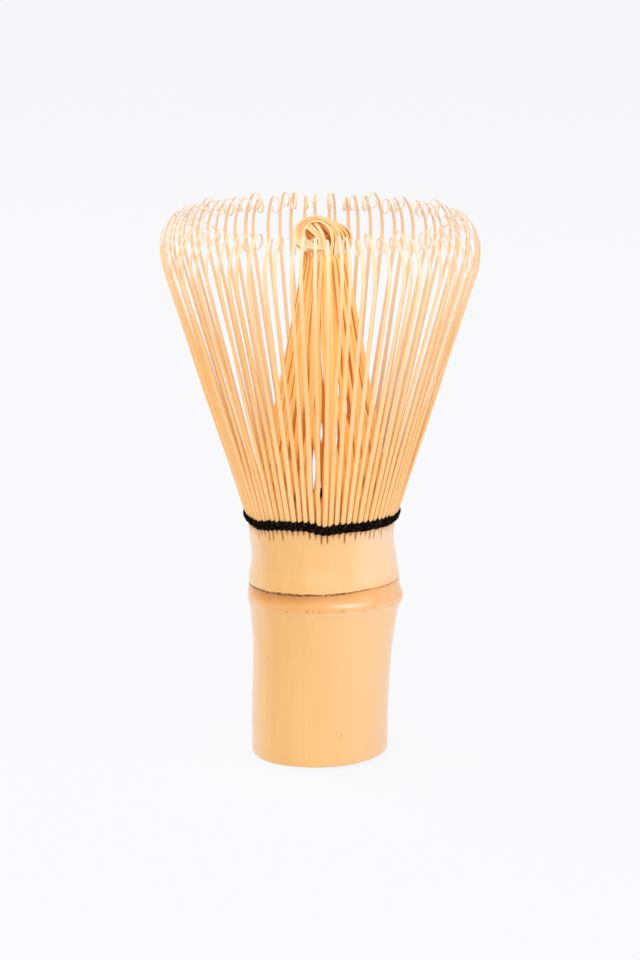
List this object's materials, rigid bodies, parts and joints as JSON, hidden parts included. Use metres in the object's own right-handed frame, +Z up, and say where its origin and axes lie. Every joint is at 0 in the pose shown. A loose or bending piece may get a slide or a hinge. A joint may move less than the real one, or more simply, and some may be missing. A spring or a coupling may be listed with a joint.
{
  "type": "bamboo tea whisk",
  "caption": "Upright bamboo whisk for powdered tea: a short culm handle with a node ring, a flared crown of curled tines round a knotted inner tuft, and a black thread binding.",
  "frame": {"origin": "centre of the handle's base, on the surface that the whisk stands on", "axes": "+Z up along the handle towards the tines, -Y towards the front, +X to the right"},
  "size_m": [0.0602, 0.0602, 0.1037],
  "materials": {
    "handle_bamboo": "satin",
    "outer_tine_bamboo": "satin",
    "inner_tine_bamboo": "matte",
    "black_thread": "matte"
  },
  "bodies": {
    "root": {"handle_culm": "handle_bamboo", "outer_tines_01": "outer_tine_bamboo", "outer_tines_02": "outer_tine_bamboo", "outer_tines_03": "outer_tine_bamboo", "outer_tines_04": "outer_tine_bamboo", "outer_tines_05": "outer_tine_bamboo", "outer_tines_06": "outer_tine_bamboo", "outer_tines_07": "outer_tine_bamboo", "outer_tines_08": "outer_tine_bamboo", "outer_tines_09": "outer_tine_bamboo", "outer_tines_10": "outer_tine_bamboo", "outer_tines_11": "outer_tine_bamboo", "outer_tines_12": "outer_tine_bamboo", "outer_tines_13": "outer_tine_bamboo", "outer_tines_14": "outer_tine_bamboo", "outer_tines_15": "outer_tine_bamboo", "outer_tines_16": "outer_tine_bamboo", "inner_tines_01": "inner_tine_bamboo", "inner_tines_02": "inner_tine_bamboo", "inner_tines_03": "inner_tine_bamboo", "inner_tines_04": "inner_tine_bamboo", "inner_tines_05": "inner_tine_bamboo", "inner_tines_06": "inner_tine_bamboo", "inner_tines_07": "inner_tine_bamboo", "inner_tines_08": "inner_tine_bamboo", "inner_tines_09": "inner_tine_bamboo", "inner_tines_10": "inner_tine_bamboo", "inner_tines_11": "inner_tine_bamboo", "inner_tines_12": "inner_tine_bamboo", "inner_tines_13": "inner_tine_bamboo", "inner_tines_14": "inner_tine_bamboo", "inner_tines_15": "inner_tine_bamboo", "inner_tines_16": "inner_tine_bamboo", "thread_outer_wrap": "black_thread", "thread_inner_wrap": "black_thread"}
  },
  "joints": []
}
